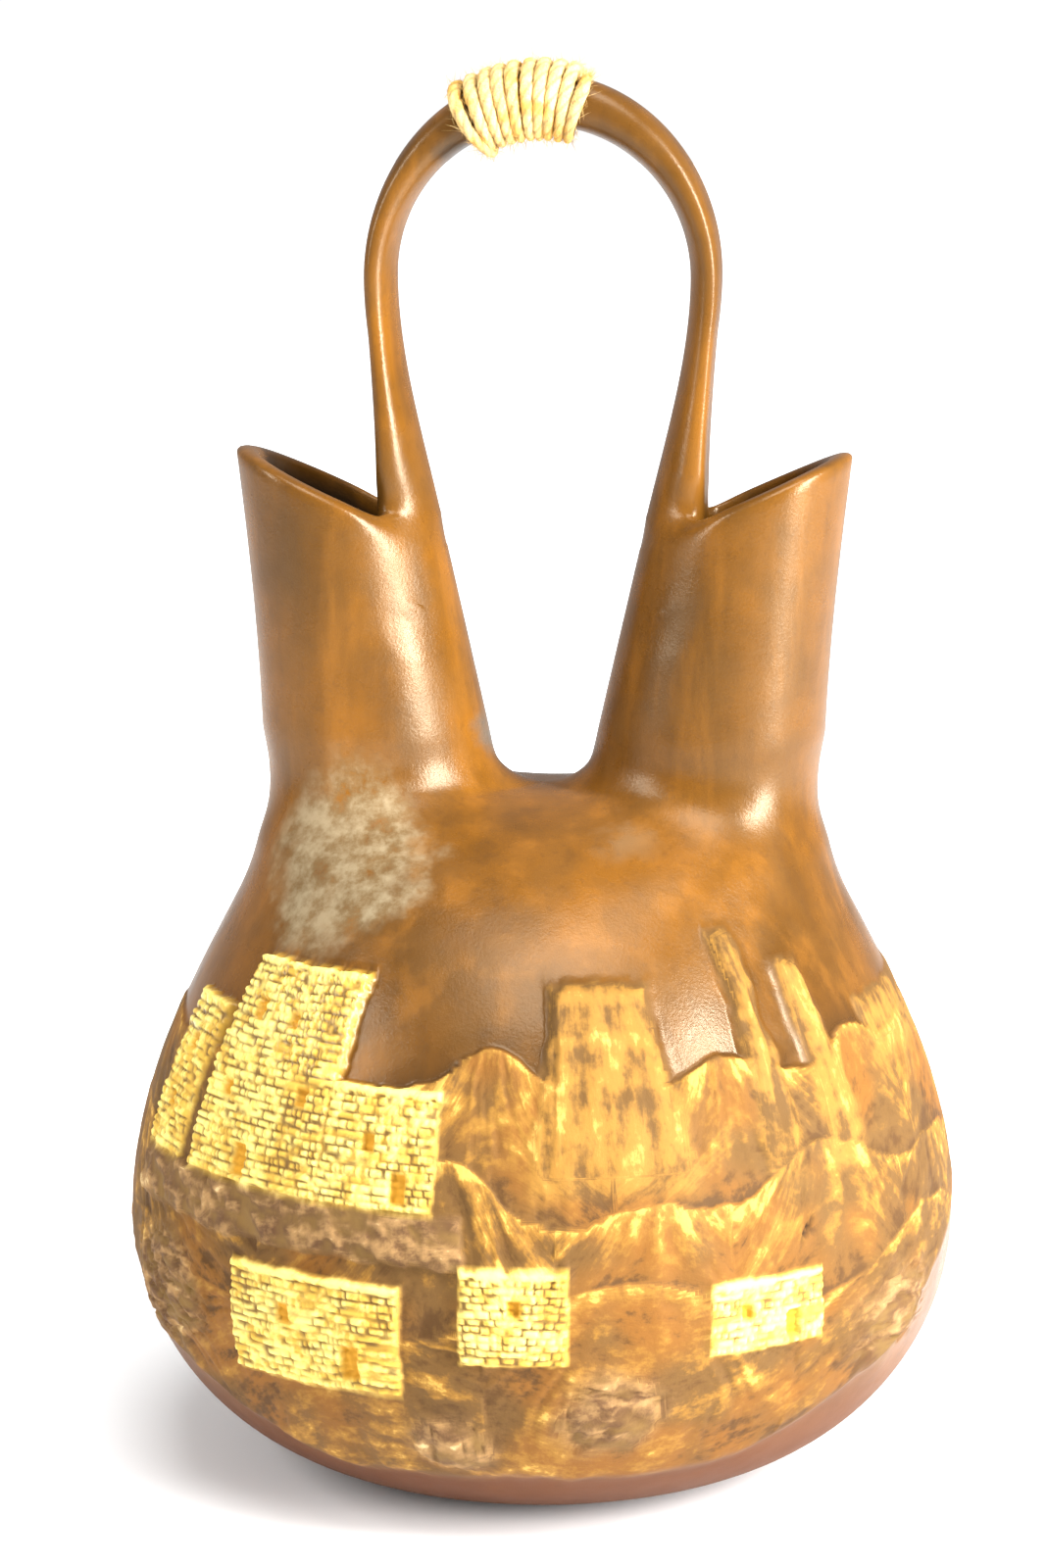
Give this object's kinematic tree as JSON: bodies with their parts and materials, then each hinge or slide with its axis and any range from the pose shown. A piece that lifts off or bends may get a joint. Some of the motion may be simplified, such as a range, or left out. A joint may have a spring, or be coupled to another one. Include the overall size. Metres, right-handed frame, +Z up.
{
  "type": "wedding vase",
  "caption": "Round-bellied burnished clay vase with two slanting spouts joined by an arched handle, a relief landscape on its front and a cord binding on the handle.",
  "frame": {"origin": "centre of the underside of the foot", "axes": "+Z up, +X through the right spout, -Y towards the carved front"},
  "size_m": [0.1666, 0.1679, 0.2802],
  "materials": {
    "clay": "satin burnished, with a matt yellow and ochre relief",
    "jute": "matt twisted fibre"
  },
  "bodies": {
    "root": {"vase_body": "clay", "handle_binding": "jute"}
  },
  "joints": []
}
